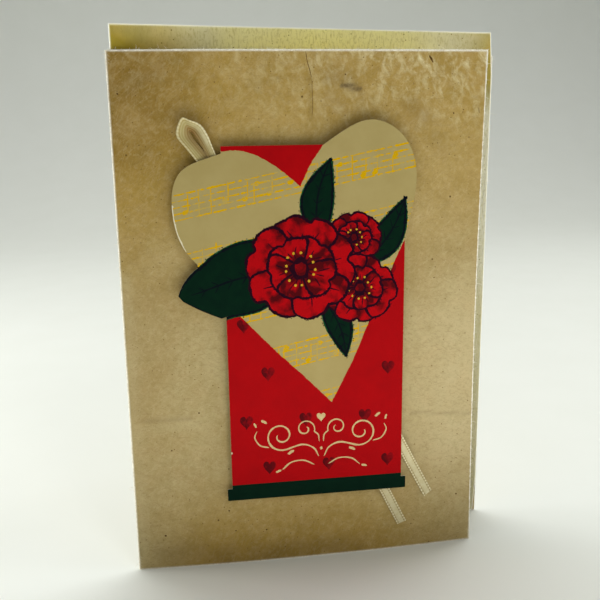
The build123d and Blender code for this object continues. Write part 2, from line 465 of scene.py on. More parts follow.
def ribbon_weave():
    """Woven ribbon: fine lengthwise and crosswise threads, dark in the gaps by its picot rows, with the
    loop's painted shade and its olive tint of painted light.
    """
    look = Look("woven_ribbon", Specular_IOR_Level=0.2, Sheen_Weight=0.1, Sheen_Roughness=0.4)
    uneven = look.noise(1.6, 3.0, 0.6)
    across = look.value_of("across")
    weft = look.waves(look.value_of("along"), 0.2)
    weave = look.math("ADD", look.waves(across, 0.16), look.times(weft, 0.6))
    ribs = look.span(look.waves(across, 0.62), -1.0, 1.0, 0.7, 1.0)
    look.start(look.span(uneven, 0.35, 0.7), (207, 195, 150), (219, 210, 170))
    look.wash(look.span(weave, 0.2, -1.4, 0.0, 0.25), 156, 140, 90)
    # The tint is painted light shining through the loop.
    look.wash(look.times(look.value_of("tint"), ribs), 152, 136, 70)
    look.wash(look.value_of("gap"), 146, 118, 58)
    look.wash(look.value_of("stitch"), 236, 227, 186)
    look.wash(look.times(look.value_of("shade"), ribs), 132, 94, 36)
    return look.finish(look.span(uneven, 0.3, 0.7, 0.5, 0.66), weave, 0.015, 0.5)


def foam():
    """Closed-cell foam."""
    look = Look("pad_foam", Specular_IOR_Level=0.3)
    cells = look.cells(4.0, "Distance")
    look.start(look.span(cells, 0.1, 0.6), (206, 204, 196), (232, 231, 226))
    return look.finish(look.span(cells, 0.1, 0.6, 0.9, 0.75), cells, 0.12, 0.7)


# Section of the cover
FOLD_STEPS = 10
CALM_RUN = 12.0


def spread(length, step, fine=(0.0, 0.16, 0.34, 0.6, 1.0), start_fine=True):
    """Places along a length: close together near its cut ends and a step apart elsewhere."""
    low = list(fine) if start_fine else [0.0]
    high = [length - f for f in reversed(fine)]
    inner = high[0] - low[-1]
    count = max(1, round(inner / step))
    return low + [low[-1] + inner * k / count for k in range(1, count)] + high


BACK_STEPS = [1 - s / BACK_RUN for s in spread(BACK_RUN, 2.6)]


def free_edge(z):
    """How far right the front leaf reaches at a height."""
    return FRONT_WIDTH - EDGE_HOLLOW * (1 - (2 * z / COVER_HEIGHT - 1) ** 2)


def front_arc(x, depth=0.0):
    """The bowed front leaf in plan, at a place along its chord and a depth into the paper."""
    rounding = RISE_RADIUS if x < CROWN else FALL_RADIUS
    angle = asin((x - CROWN) / rounding)
    reach = rounding - depth
    return Vector((CROWN + reach * sin(angle), rounding - FRONT_BULGE - reach * cos(angle), 0))


def section(height, depth):
    """The cover in plan at a depth into the paper: the back leaf from its end, the fold, the front leaf."""
    radius = CREASE_OUTER - depth
    line = [CREASE_CENTER + OUT_OF_BACK * radius + ALONG_BACK * BACK_RUN * t for t in BACK_STEPS]
    start, size = pi / 2 + OPENING, pi - OPENING - SPRING
    for k in range(1, FOLD_STEPS):
        angle = start + size * k / FOLD_STEPS
        line.append(CREASE_CENTER + Vector((cos(angle), sin(angle), 0)) * radius)
    run = free_edge(height) - FRONT_START
    return line + [front_arc(FRONT_START + s, depth) for s in spread(run, 0.95, start_fine=False)]


def ripple(run, z, side):
    """How far the paper of a leaf stands off its even curve, which it keeps to near the fold."""
    stands = 0.16 * fractal(run, side * 90, z, 42.0, 2) + 0.035 * fractal(run, side * 90 + 40, z, 7.0, 2)
    return stands * min(1, run / CALM_RUN)


def front_point(x, z, lift=0.0):
    """A point of the front leaf's outer face, lifted off it."""
    y = front_arc(x).y
    return Vector((x, y - ripple((Vector((x, y, 0)) - CREASE_CENTER).length, z, 2) - lift, z))


def back_point(run, z, lift=0.0):
    """A point of the back leaf's outer face, lifted off it."""
    arm = OUT_OF_BACK * CREASE_OUTER + ALONG_BACK * run
    q = CREASE_CENTER + arm + OUT_OF_BACK * (ripple(arm.length, z, 1) + lift)
    q.z = z
    return q


# Soft marks of the front leaf: start, end, reach and strength, which is negative where the mark is pale; the
# dark marks along the foot are painted shade and the pale band beside the fold is a painted highlight
SOFT_MARKS = [
    ((70.5, 158.8), (75.8, 157.6), 0.8, 1.25),
    ((67.0, 161.0), (72.5, 160.0), 3.6, 0.3),
    ((66.5, 155.5), (69.5, 153.0), 2.8, 0.2),
    ((62.2, 161.5), (62.4, 150.5), 1.2, -0.2),
    ((60.6, 161.5), (60.8, 149.5), 0.9, 0.25),
    ((9.5, 162.2), (2.3, 156.8), 0.8, -0.2),
    ((17.0, 165.2), (5.0, 156.4), 1.4, 0.14),
    ((93.0, 152.0), (97.0, 149.0), 3.2, 0.3),
    ((100.5, 143.0), (103.0, 139.0), 2.6, 0.16),
    ((3.0, 53.5), (19.5, 53.5), 1.0, 0.3),
    ((3.0, 51.2), (22.0, 51.4), 1.4, -0.14),
    # Painted shade along the foot.
    ((8.0, 6.0), (30.0, 3.5), 4.5, 0.22),
    ((40.0, 3.0), (70.0, 3.0), 4.0, 0.2),
    ((94.5, 50.5), (115.6, 48.4), 0.6, 0.3),
    ((111.5, 43.6), (116.5, 47.6), 0.35, -0.35),
    ((113.0, 42.4), (116.5, 45.0), 0.3, -0.3),
    # A painted highlight along the rounding of the fold.
    ((1.8, 2.0), (1.8, 100.0), 2.4, -0.22),
    ((5.7, 168.5), (9.5, 166.0), 0.4, -0.3),
]


def soft_marks(x, z):
    """How dark, or pale, the front leaf's soft marks are at a place, painted shade and a painted highlight
    among them.
    """
    dark = pale = 0.0
    for start, end, reach, strength in SOFT_MARKS:
        a = Vector(start)
        run, offset = Vector(end) - a, Vector((x, z)) - a
        away = (offset - run * unit(offset.dot(run) / run.length_squared)).length
        mark = strength * exp(-((away / reach) ** 2))
        dark, pale = max(dark, mark), min(pale, mark)
    return dark + pale


def cloud_at(x, z, on_back):
    """How far the pale streaks of light shining through the paper show, which is near its top, and on the
    front more to the right: painted light.
    """
    right = 0.5 if on_back else 0.15 + 0.85 * unit((x - 20) / 70)
    return min(1, max(0, (z - 132) / 37) ** 1.3 * right)


def tan_at(x, z, run):
    """How brown the front leaf is: more at its top and upper left corner, which is partly painted shade, and
    at its foot, which is painted shade; and paler at its lower right, which is partly painted light.
    """
    foot = max(0, 1 - z / 34) * unit(run / 26) * unit((FRONT_WIDTH - run) / 40)
    corner = max(0, 1 - x / 42) * unit((z - 96) / 50)
    shade_and_tone = max(0.85 * unit((z - 84) / 66) + 0.9 * corner, 1.3 * foot)
    return shade_and_tone - 0.6 * unit((x - 66) / 44) * unit(min((z - 8) / 26, (128 - z) / 50))


BACK_TAN = 0.4
RIM_REACH = 0.62


def cover_sheet(paper):
    """The folded sheet as one closed skin, with a slight ripple, pale rims at its cut edges that are partly
    painted highlight, and a painted highlight along the fold.
    """
    heights = spread(COVER_HEIGHT, 1.05)
    points, clouds, tans, stains, rims = [], [], [], [], []
    for z in heights:
        outside = section(z, 0.0)
        half = len(outside)
        for i, p in enumerate(outside + section(z, COVER_PAPER)[::-1]):
            k = i if i < half else 2 * half - 1 - i
            on_back = k < len(BACK_STEPS)
            run = (p - CREASE_CENTER).length
            push = OUT_OF_BACK if on_back else Vector((0, -1, 0))
            q = p + push * ripple(run, z, 1 if on_back else 2)
            q.z = z
            points.append(q)
            # The clouds list holds the painted light of the streaks shining through.
            clouds.append(cloud_at(p.x, z, on_back))
            tans.append(BACK_TAN if on_back else tan_at(p.x, z, run))
            stains.append(soft_marks(p.x, z) if i < half and not on_back else 0)
            # Rims: a painted highlight along the outside of the fold, and pale cut edges that are partly
            # painted highlight.
            edge = min(z, COVER_HEIGHT - z, BACK_WIDTH - run if on_back else FRONT_WIDTH - p.x)
            turned = (k - len(BACK_STEPS) + 1) / FOLD_STEPS
            fold_highlight = 0.0
            if i < half and 0 < turned < 1:
                fold_highlight = min(1, (1 - turned) / 0.3, turned / 0.2) * (0.95 + 0.4 * fractal(0, 0, z, 3.0, 3))
            rims.append(max(0, fold_highlight, 0.95 * (1 - edge / RIM_REACH)))
    columns = len(points) // len(heights)
    faces = grid_faces(columns, len(heights), wrap=True)
    for row in (0, len(heights) - 1):
        for k in range(columns // 2 - 1):
            quad = [row * columns + c for c in (k, k + 1, columns - 2 - k, columns - 1 - k)]
            faces.append(tuple(quad if row == 0 else reversed(quad)))
    piece = mesh_piece("cover_sheet", points, faces, [paper])
    vertex_values(piece, cloud=clouds, tan=tans, stain=stains, rim=rims)
    return piece


# Cut edges
def divided(start, end, step):
    """Places from a start to an end, about a step apart."""
    count = int(end / step)
    return [start + (end - start) * k / count for k in range(count + 1)]


def edge_paths(step):
    """The cover's cut edges as lines along the middle of its paper, with their outward directions."""
    up, right = Vector((0, 0, 1)), Vector((1, 0, 0))
    middle = COVER_PAPER / 2
    along = divided(0.0, COVER_HEIGHT, step)
    across = divided(1.0, FRONT_WIDTH, step)
    behind = divided(0.0, BACK_RUN, step)
    return {
        "front_top": ([front_point(x, COVER_HEIGHT, -middle) for x in across], up),
        "front_foot": ([front_point(x, 0, -middle) for x in across], -up),
        "front_side": ([front_point(free_edge(z), z, -middle) for z in along], right),
        "back_top": ([back_point(t, COVER_HEIGHT, -middle) for t in behind], up),
        "back_foot": ([back_point(t, 0, -middle) for t in behind], -up),
        "back_side": ([back_point(BACK_RUN, z, -middle) for z in along], ALONG_BACK),
    }


def cut_rims(material):
    """Pale, slightly swollen rims along the cut edges, thinner and clear of the floor at the foot; their pale
    is partly painted highlight.
    """
    points, faces = [], []
    for name, (path, outward) in edge_paths(0.42).items():
        size, shift = (0.16, 0.27) if name.endswith("foot") else (0.27, -0.06)
        away = -outward if name.endswith("foot") else outward
        line = [p + away * (shift + 0.05 * fractal(p.z, p.x, p.y, 2.3, 2)) for p in path]
        radii = [size * (1 + 0.22 * fractal(p.x, p.y, p.z, 1.1, 3)) for p in path]
        tube(line, radii, 6, points, faces)
    return mesh_piece("cover_rims", points, faces, [material])


FOLD_HAIRS = 150
TOP_HAIRS = 22


def edge_fuzz(material):
    """Loose fibres that stand out of the cut edges and of the fold, where more of them are near the top."""
    draw = random.Random(11)
    points, faces = [], []
    for name, (path, outward) in edge_paths(1.0).items():
        if name.endswith("foot"):
            continue
        for _ in range(int(len(path) * 1.3)):
            add_hair(path[draw.randrange(len(path))], outward, draw, points, faces)
    for k in range(FOLD_HAIRS):
        z = COVER_HEIGHT - abs(draw.gauss(0, 3)) if k < TOP_HAIRS else draw.uniform(2, COVER_HEIGHT)
        add_hair(Vector((0.12, 0, z)), Vector((-1, draw.uniform(-0.6, 0.2), 0)), draw, points, faces)
    return mesh_piece("cover_fuzz", points, faces, [material])


def add_hair(start, outward, draw, points, faces):
    """Adds one bent fibre, unless it would touch the floor."""
    length = draw.uniform(0.25, 0.8) if draw.random() < 0.85 else draw.uniform(0.8, 1.9)
    heading = (outward + Vector((draw.gauss(0, 0.5), draw.gauss(0, 0.35), draw.gauss(0, 0.5)))).normalized()
    bend = Vector((draw.gauss(0, 0.5), draw.gauss(0, 0.4), draw.gauss(0, 0.5)))
    path = [start + (heading * t + bend * t * t * 0.5) * length for t in (0, 0.35, 0.7, 1.0)]
    if min(p.z for p in path) < 0.1:
        return
    thick = draw.uniform(0.03, 0.055)
    tube(path, [thick, thick, thick * 0.8, thick * 0.35], 3, points, faces)


# Flecks pressed into the front leaf: a line of places across the sheet, and a width
FLECKS = [
    ([(98.0, 167.4), (98.7, 166.4), (99.3, 165.3)], 0.62),
    ([(59.2, 168.6), (59.6, 165.8), (60.3, 163.4), (60.9, 161.0)], 0.2),
    ([(61.0, 160.6), (61.1, 157.0), (61.2, 153.0), (61.0, 149.6)], 0.12),
    ([(71.2, 161.9), (71.6, 161.7)], 0.4),
    ([(114.9, 151.6), (115.1, 150.6), (115.2, 149.8)], 0.2),
    ([(106.5, 150.3), (106.6, 149.6)], 0.4),
    ([(109.7, 151.2), (109.9, 150.8)], 0.36),
    ([(111.8, 142.6), (112.1, 142.3)], 0.42),
    ([(2.7, 156.8), (3.1, 156.4)], 0.5),
    ([(101.7, 0.9), (102.2, 0.8)], 0.4),
    ([(31.4, 35.2), (31.8, 34.9)], 0.5),
    ([(31.0, 20.0), (31.4, 19.6)], 0.45),
    ([(9.3, 12.4), (9.8, 11.8)], 0.7),
    ([(12.9, 42.9), (13.3, 42.6)], 0.5),
    ([(33.0, 12.3), (33.5, 12.1)], 0.45),
    ([(43.5, 11.8), (44.0, 11.6)], 0.45),
]
SMALL_FLECKS = 150


def pressed_flecks(material):
    """Dark bits of bark and fibre on the faces of the cover."""
    draw = random.Random(23)
    points, faces = [], []
    for line, width in FLECKS:
        add_fleck([Vector(p) for p in line], width, front_point, points, faces)
    for surface, reach in ((front_point, FRONT_WIDTH - 2), (back_point, BACK_WIDTH - 3)):
        for _ in range(SMALL_FLECKS):
            centre = Vector((draw.uniform(2, reach), draw.uniform(1.5, COVER_HEIGHT - 1.5)))
            turn = draw.uniform(0, pi)
            length = draw.uniform(0.15, 0.42) if draw.random() < 0.92 else draw.uniform(0.5, 1.0)
            arm = Vector((cos(turn), sin(turn))) * length / 2
            add_fleck([centre - arm, centre + arm], draw.uniform(0.1, 0.24), surface, points, faces)
    return mesh_piece("cover_flecks", points, faces, [material])


def add_fleck(line, width, surface, points, faces):
    """Adds a thin closed lens that lies along a line on a leaf."""
    line = through(line, 0.5) if len(line) > 2 else [line[0].lerp(line[1], t) for t in (0, 0.33, 0.67, 1)]
    first = len(points)
    count = len(line)
    for i, (p, n) in enumerate(zip(line, normals(line))):
        t = i / (count - 1)
        half = width / 2 * (0.3 + 0.7 * sqrt(max(0, 1 - (2 * t - 1) ** 2)))
        half *= 1 + 0.3 * fractal(p.x, p.y, 3, 0.8, 2)
        for side, lift in ((-1, 0.0), (0, 0.05), (1, 0.0), (0, -0.05)):
            q = p + n * side * half
            points.append(surface(q.x, q.y, lift))
    tube_faces(4, count, first, faces)


paper = fibre_paper()
rim_paper = rim_fibre("cover_rim", RIM_PALE)
bark = plain_ink("fleck_brown", (112, 84, 46), (74, 52, 26), 0.6, (0.8, 0.9), 1.0)
sheet = cover_sheet(paper)
rims = cut_rims(rim_paper)
fuzz = edge_fuzz(rim_paper)
flecks = pressed_flecks(bark)
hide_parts("card_cover")
for piece in (sheet, rims, fuzz, flecks):
    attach(piece, "root")

# Envelope: a closed pocket against the back leaf, with its flap folded over on the rear
ENVELOPE_LEFT = 0.6
ENVELOPE_WIDTH = 126.8
ENVELOPE_THICK = 0.5
FOLD_ROUND = 0.4
SHOULDER_HEIGHT = 14.0
SHOULDER_TAPER = 0.9
FLAP_DEPTH = 48.0
FLAP_SLANT = 22.0
FLAP_PAPER = 0.15

envelope_low, envelope_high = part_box("envelope")
ENVELOPE_FOOT = envelope_low.z / MM
ENVELOPE_TOP = envelope_high.z / MM
POCKET_REAR = CREASE_CENTER + OUT_OF_BACK * (CREASE_OUTER - COVER_PAPER - FLAP_PAPER)

# Painted light and shade on the paper above the leaves, from the fold to the far side: olive painted shade
# above 0 and pale painted light, as of light shining through, below it
STRIP_TONE = ((0.0, 1.2), (0.13, 0.75), (0.28, -0.35), (0.5, -0.9), (0.75, -0.65), (0.91, 0.15), (1.01, 1.1))
REAR_TONE = 0.25
# Painted shade over the envelope's lower part.
FOOT_SHADE = 0.35


def strip_tone(share):
    for (start, first), (end, last) in zip(STRIP_TONE, STRIP_TONE[1:]):
        if share <= end:
            return first + (last - first) * (share - start) / (end - start)
    return STRIP_TONE[-1][1]


def pocket_point(run, z, forward):
    """A point of the envelope: a distance along the back leaf, a height, and a depth off its rear."""
    p = POCKET_REAR + ALONG_BACK * run - OUT_OF_BACK * forward
    p.z = z
    return p


def pocket_ring(z, shares, bend, width, half):
    """The pocket round its section at a height: its front, its far fold, its rear and its near fold."""
    right, middle = ENVELOPE_LEFT + width, ENVELOPE_THICK / 2
    rise = sin(pi * (z - ENVELOPE_FOOT) / (ENVELOPE_TOP - ENVELOPE_FOOT))
    ring = []
    for t in shares:
        run = ENVELOPE_LEFT + t * width
        full = sin(pi * t) * rise
        swell = 0.35 * full + 0.12 * fractal(run, 7, z, 38.0, 2) * full
        ring.append((run, middle + half + swell))
    ring += [(right - FOLD_ROUND + FOLD_ROUND * cos(a), middle - half * sin(a)) for a in bend]
    ring += [(ENVELOPE_LEFT + t * width, middle - half) for t in reversed(shares)]
    ring += [(ENVELOPE_LEFT + FOLD_ROUND - FOLD_ROUND * cos(a), middle + half * sin(a)) for a in bend]
    return ring


def envelope_pocket(material):
    """The pocket as a thin pillow with rounded folds."""
    heights = spread(ENVELOPE_TOP - ENVELOPE_FOOT, 2.6, (0.0, 0.05, 0.14, 0.3, 0.5, 0.8))
    shares = [s / ENVELOPE_WIDTH for s in spread(ENVELOPE_WIDTH, 2.6, (0.4, 0.6, 0.8, 1.4))]
    bend = [radians(-90 + 22.5 * k) for k in range(1, 8)]
    points, rims, olives = [], [], []
    for h in heights:
        z = ENVELOPE_FOOT + h
        near_end = min(h, ENVELOPE_TOP - ENVELOPE_FOOT - h)
        width = ENVELOPE_WIDTH - SHOULDER_TAPER * max(0, 1 - near_end / SHOULDER_HEIGHT)
        rounded = sqrt(max(0, 1 - (1 - min(1, near_end / 0.3)) ** 2))
        ring = pocket_ring(z, shares, bend, width, ENVELOPE_THICK / 2 * (0.3 + 0.7 * rounded))
        points.extend(pocket_point(run, z, forward) for run, forward in ring)
        # Painted shade and painted light on the strip above the leaves, stronger near its foot, and painted
        # shade over the lower part; the rear takes its tint.
        strip = unit((z - 150) / 10) * (0.7 + 0.3 * unit((ENVELOPE_TOP - z) / 7))
        foot = FOOT_SHADE * unit((96 - z) / 12)
        for k, (run, _) in enumerate(ring):
            near_side = min(run - ENVELOPE_LEFT, ENVELOPE_LEFT + width - run)
            rims.append(min(1, max(0, 1.5 - near_end / 0.4, 1.3 - near_side / 0.4)))
            shading_and_tint = strip_tone(run / ENVELOPE_WIDTH) if k < len(shares) else REAR_TONE
            olives.append(strip * shading_and_tint + foot)
    columns = len(points) // len(heights)
    faces = grid_faces(columns, len(heights), wrap=True)
    count, turn = len(shares), len(bend)
    rear = 2 * count + turn - 1
    for row in (0, len(heights) - 1):
        caps = [[k, k + 1, rear - 1 - k, rear - k] for k in range(count - 1)]
        caps.append([count - 1 + k for k in range(turn + 2)])
        caps.append([0] + [rear + k for k in range(turn + 1)])
        for cap in caps:
            cap = [row * columns + c for c in cap]
            faces.append(tuple(cap if row == 0 else reversed(cap)))
    piece = mesh_piece("envelope_pocket", points, faces, [material])
    vertex_values(piece, rim=rims, olive=olives)
    return piece


def envelope_flap(material):
    """The closing flap, from the right fold, flat on the rear."""
    right = ENVELOPE_LEFT + ENVELOPE_WIDTH - 0.2
    left = right - FLAP_DEPTH
    foot, top = ENVELOPE_FOOT + SHOULDER_HEIGHT, ENVELOPE_TOP - SHOULDER_HEIGHT
    corners = [Vector((right, foot)), Vector((right, top))]
    corners += [Vector((left, top - FLAP_SLANT)), Vector((left, foot + FLAP_SLANT))]
    outline = []
    for i, here in enumerate(corners):
        rounding = 5.0 if i > 1 else 0.3
        beside = (corners[i - 1], corners[(i + 1) % 4])
        start, end = (here + (corner - here).normalized() * rounding for corner in beside)
        outline += [start.lerp(here, t).lerp(here.lerp(end, t), t) for t in (0, 0.25, 0.5, 0.75, 1)]
    count = len(outline)
    points = [pocket_point(p.x, p.y, forward) for forward in (0.0, -FLAP_PAPER) for p in outline]
    faces = [tuple(range(count)), tuple(reversed(range(count, 2 * count)))]
    faces += [(k, (k + 1) % count, count + (k + 1) % count, count + k)[::-1] for k in range(count)]
    return mesh_piece("envelope_flap", points, faces, [material], smooth=False)


pocket_look = envelope_paper()
pocket = envelope_pocket(pocket_look)
flap = envelope_flap(pocket_look)
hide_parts("envelope")
for piece in (pocket, flap):
    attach(piece, "root")


# Tag: outlines in the plane of its face
def enclosed(outline):
    """The area in an outline, negative if it goes round clockwise."""
    return sum(p.x * q.y - q.x * p.y for p, q in zip(outline, outline[1:] + outline[:1])) / 2


def anticlockwise(outline):
    return outline if enclosed(outline) > 0 else outline[::-1]


def winding(p, outline):
    """How many times an outline goes round a place."""
    turns = 0
    for a, b in zip(outline, outline[1:] + outline[:1]):
        left_of = (b.x - a.x) * (p.y - a.y) - (p.x - a.x) * (b.y - a.y)
        if a.y <= p.y < b.y and left_of > 0:
            turns += 1
        elif b.y <= p.y < a.y and left_of < 0:
            turns -= 1
    return turns


def well_started(outline):
    """The outline turned to start where its left side is inside it, which the filling goes by."""
    count = len(outline)
    runs = [outline[(k + 1) % count] - outline[k] for k in range(count)]
    for k in sorted(range(count), key=lambda k: -runs[k].length):
        probe = outline[k] + runs[k] / 2 + Vector((-runs[k].y, runs[k].x)).normalized() * 0.05
        if winding(probe, outline) == 1:
            return outline[k:] + outline[:k]
    return outline


def cut_outline():
    """The tag's die-cut outline, from the front face of its solid."""
    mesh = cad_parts["tag"].data
    edges = {}
    for face in mesh.polygons:
        corners = [mesh.vertices[i].co / MM - FOLD for i in face.vertices]
        if all(abs(c.y - TAG_FACE) < 0.01 for c in corners):
            keys = [(round(c.x, 3), round(c.z, 3)) for c in corners]
            edges.update(dict.fromkeys(zip(keys, keys[1:] + keys[:1])))
    ahead = {a: b for a, b in edges if (b, a) not in edges}
    outline = [next(iter(ahead))]
    while ahead[outline[-1]] != outline[0]:
        outline.append(ahead[outline[-1]])
    return anticlockwise([Vector(p) for p in outline])


class Print:
    """Layers of closed outlines on the tag's face; each covers those before it."""

    def __init__(self):
        self.layers = []

    def lay(self, ink, outlines, within=None, wash=None):
        self.layers.append((ink, [anticlockwise(o) for o in outlines], within, wash))
        return len(self.layers) - 1


# The cream heart: its inner edge as printed, and its lobes run past the die-cut edge
HEART_TOP = [(32.7, 139.4), (36.9, 139.7), (39.9, 139.2), (44.4, 137.5), (50.4, 133.7), (56.7, 128.4)]
HEART_RISE = [(56.7, 128.4), (58.5, 132.2), (60.1, 135.5), (62.9, 139.4), (64.1, 141.3)]
HEART_RIGHT = [(66.0, 144.5), (72.0, 148.5), (79.0, 150.5), (87.0, 148.0), (93.5, 141.5), (96.0, 132.0)]
HEART_RIGHT.append((94.5, 119.0))
HEART_FLANK = [(90.6, 111.4), (88.3, 107.0), (83.2, 95.0), (77.5, 81.6), (73.2, 71.3), (66.2, 57.4)]
HEART_FOOT = [(66.2, 57.4), (57.4, 66.6), (48.0, 76.0), (37.1, 87.8), (29.0, 97.0), (23.0, 105.0)]
HEART_LEFT = [(16.0, 110.0), (15.0, 122.0), (16.5, 132.0), (23.0, 138.0), (30.0, 141.0)]


def lobed_heart():
    top, rise, flank, foot = (through(line, 0.4) for line in (HEART_TOP, HEART_RISE, HEART_FLANK, HEART_FOOT))
    outline = rough(top[:-1], 0.16, 0.9, 1) + rough(rise, 0.16, 0.9, 2) + [Vector(p) for p in HEART_RIGHT]
    outline += rough(flank[:-1], 0.13, 0.9, 3) + rough(foot, 0.16, 0.9, 4)
    return outline + [Vector(p) for p in HEART_LEFT]


def small_heart(x, z, width, tall=1.0):
    outline = []
    for k in range(28):
        t = 2 * pi * k / 28
        across = 16 * sin(t) ** 3
        up = 13 * cos(t) - 5 * cos(2 * t) - 2 * cos(3 * t) - cos(4 * t)
        reach = width / 32 * (1 + 0.06 * fractal(x + cos(t), z + sin(t), 6, 0.8, 2))
        outline.append(Vector((x + across * reach, z + up * reach * tall)))
    return outline


# Staves: five lines each, sloping up to the right
STAVES = 5
STAVE_RISE = 0.2
STAVE_GAP = 1.92
STAVE_SPACING = 18.5
STAVE_TOP = 126.5


def stave_height(stave, line, x):
    return STAVE_TOP - STAVE_SPACING * stave - STAVE_GAP * line + STAVE_RISE * (x - 18.0)


def stave_line(stave, line, draw):
    """One line of a stave, in broken and uneven dashes."""
    dashes = []
    x = 16.0 + draw.uniform(0, 2)
    while x < 96:
        run = draw.uniform(1.2, 6.5)
        width = draw.uniform(0.36, 0.62)
        steps = max(3, ceil(run / 0.4))
        path = []
        for k in range(steps + 1):
            px = x + run * k / steps
            waver = 0.09 * fractal(px, line * 9 + stave, 0, 2.2, 2)
            path.append(Vector((px, stave_height(stave, line, px) + waver)))
        dashes.append(brush(path, width, line + 5 * stave, 0.6, 0.1))
        x += run + draw.uniform(0.15, 0.75)
    return dashes


def stave_notes(stave, draw):
    """Simple notes and bar lines along a stave."""
    marks = []
    x = 19.0 + draw.uniform(0, 4)
    while x < 94:
        if draw.random() < 0.2:
            top, foot = stave_height(stave, 0, x), stave_height(stave, 4, x)
            bar = [Vector((x, foot + (top - foot) * k / 12)) for k in range(13)]
            marks.append(brush(bar, 0.4, x, 0.4, 0.1))
            x += draw.uniform(2.5, 4.5)
            continue
        step = draw.randrange(1, 8)
        place = Vector((x, stave_height(stave, step / 2, x)))
        marks.append([
            place + Vector((1.0 * cos(a) - 0.12 * sin(a), 0.72 * sin(a) + 0.3 * cos(a)))
            * (1 + 0.22 * fractal(cos(a), sin(a), x, 0.9, 2))
            for a in (2 * pi * k / 12 for k in range(12))
        ])
        side = 1 if step > 3 else -1
        stem = [place + Vector((0.88 * side, 5.6 * side * k / 10)) for k in range(11)]
        marks.append(brush(stem, 0.36, x, 0.4, 0.1))
        x += draw.uniform(3.2, 7.0)
    return marks


def stave_print(draw):
    outlines = []
    for stave in range(STAVES):
        for line in range(5):
            outlines += stave_line(stave, line, draw)
        outlines += stave_notes(stave, draw)
    return outlines


def speckle(line, outward, spread_by, count, draw):
    """Small dabs of dry ink beside a line."""
    dabs = []
    for _ in range(count):
        p = line[draw.randrange(len(line))]
        place = p + (p - outward).normalized() * draw.uniform(0.1, spread_by)
        dabs.append(blob(place, draw.uniform(0.09, 0.22), draw.random() * 50, corners=6))
    return dabs


# Spray: three open blossoms, each of two rings of rounded petals round an eye of small dots
BLOSSOM_SPREAD = Vector((1.04, 0.96))


class Blossom:
    """Places and washes in one blossom."""

    def __init__(self, centre, radius, turn, petals):
        self.centre = Vector(centre)
        self.radius = radius
        self.turn = turn
        self.petals = petals

    def point(self, along, across, axis):
        """A place along and across a petal's axis."""
        out = Vector((cos(axis), sin(axis)))
        p = out * along + Vector((-out.y, out.x)) * across
        return self.centre + p * BLOSSOM_SPREAD

    def rim(self, axis, length, width, notch, draw):
        """The rim of a petal, from one side of its foot round to the other."""
        lean = draw.uniform(-0.06, 0.06)
        shape = [(0.12, -0.14), (0.42, -0.40), (0.72, -0.52), (0.93, -0.36), (1.0, -0.13), (1 - notch, lean)]
        shape += [(1.0, 0.15), (0.92, 0.37), (0.71, 0.52), (0.42, 0.40), (0.12, 0.14)]
        points = []
        for a, c in shape:
            along, across = a + draw.uniform(-0.025, 0.025), c + draw.uniform(-0.025, 0.025)
            points.append(self.point(length * along, width * across, axis))
        return through(points, 0.34)

    def wash(self, axis, length, width, seed):
        """Where a petal's wash is dark: at its foot, along one side and in streaks."""

        def dark(x, z):
            p = Vector((x, z)) - self.centre
            p = Vector((p.x / BLOSSOM_SPREAD.x, p.y / BLOSSOM_SPREAD.y))
            out = Vector((cos(axis), sin(axis)))
            along, across = p.dot(out) / length, p.dot(Vector((-out.y, out.x))) / width
            foot = exp(-max(0, along - 0.34) / 0.2)
            side = max(0, across * 2.1) ** 2
            streak = fractal(along * 2.0, across * 9, seed, 1.2, 2)
            pool = max(0, fractal(x, z, seed * 3, 4.6, 2))
            return 0.8 * foot + 0.5 * side + 0.4 * streak + 0.9 * pool

        return dark


def lay_petal(page, flower, axis, reach, width, notch, mark, draw):
    """One petal: its wash, its ink line, three veins and specks of ink round it."""
    line = 0.4 + 0.024 * flower.radius
    rim = flower.rim(axis, reach, width, notch, draw)
    page.lay("petal_red", [rim], wash=flower.wash(axis, reach, width, mark))
    strokes = [brush(rim, line, mark, 0.7, 0.12)]
    for across in (-0.15, 0.03, 0.2):
        start, end = draw.uniform(0.42, 0.5), draw.uniform(0.62, 0.8)
        vein = []
        for t in (step / 9 for step in range(10)):
            vein.append(flower.point(reach * (start + (end - start) * t), width * across * (0.5 + t), axis))
        strokes.append(brush(vein, line * 0.5, mark + across, 0.4, 0.5))
    page.lay("blossom_ink", strokes + speckle(rim, flower.centre, 0.75, int(9 + flower.radius), draw))


def lay_eye(page, flower, seed, draw):
    """The blossom's eye: a dark middle with a red heart, and threads that end in dots."""
    size = flower.radius
    page.lay("blossom_ink", [blob(flower.centre, size * 0.2, seed, corners=26)])
    page.lay("petal_red", [blob(flower.centre, size * 0.12, seed + 4, corners=18)], wash=lambda x, z: 0.65)
    threads, dots = [], []
    count = 8 + int(size / 3)
    for k in range(count):
        angle = 2 * pi * k / count + draw.uniform(-0.1, 0.1)
        out = Vector((cos(angle), sin(angle)))
        foot, tip = size * 0.14, size * draw.uniform(0.27, 0.34)
        thread = [flower.centre + out * (foot + (tip - foot) * t) for t in (0, 0.25, 0.5, 0.75, 1)]
        threads.append(brush(thread, 0.3, seed + k, 0.3, 0))
        dots.append(blob(flower.centre + out * tip, 0.22 + 0.014 * size, seed + k, corners=8))
    page.lay("blossom_ink", threads)
    page.lay("blossom_dots", dots)


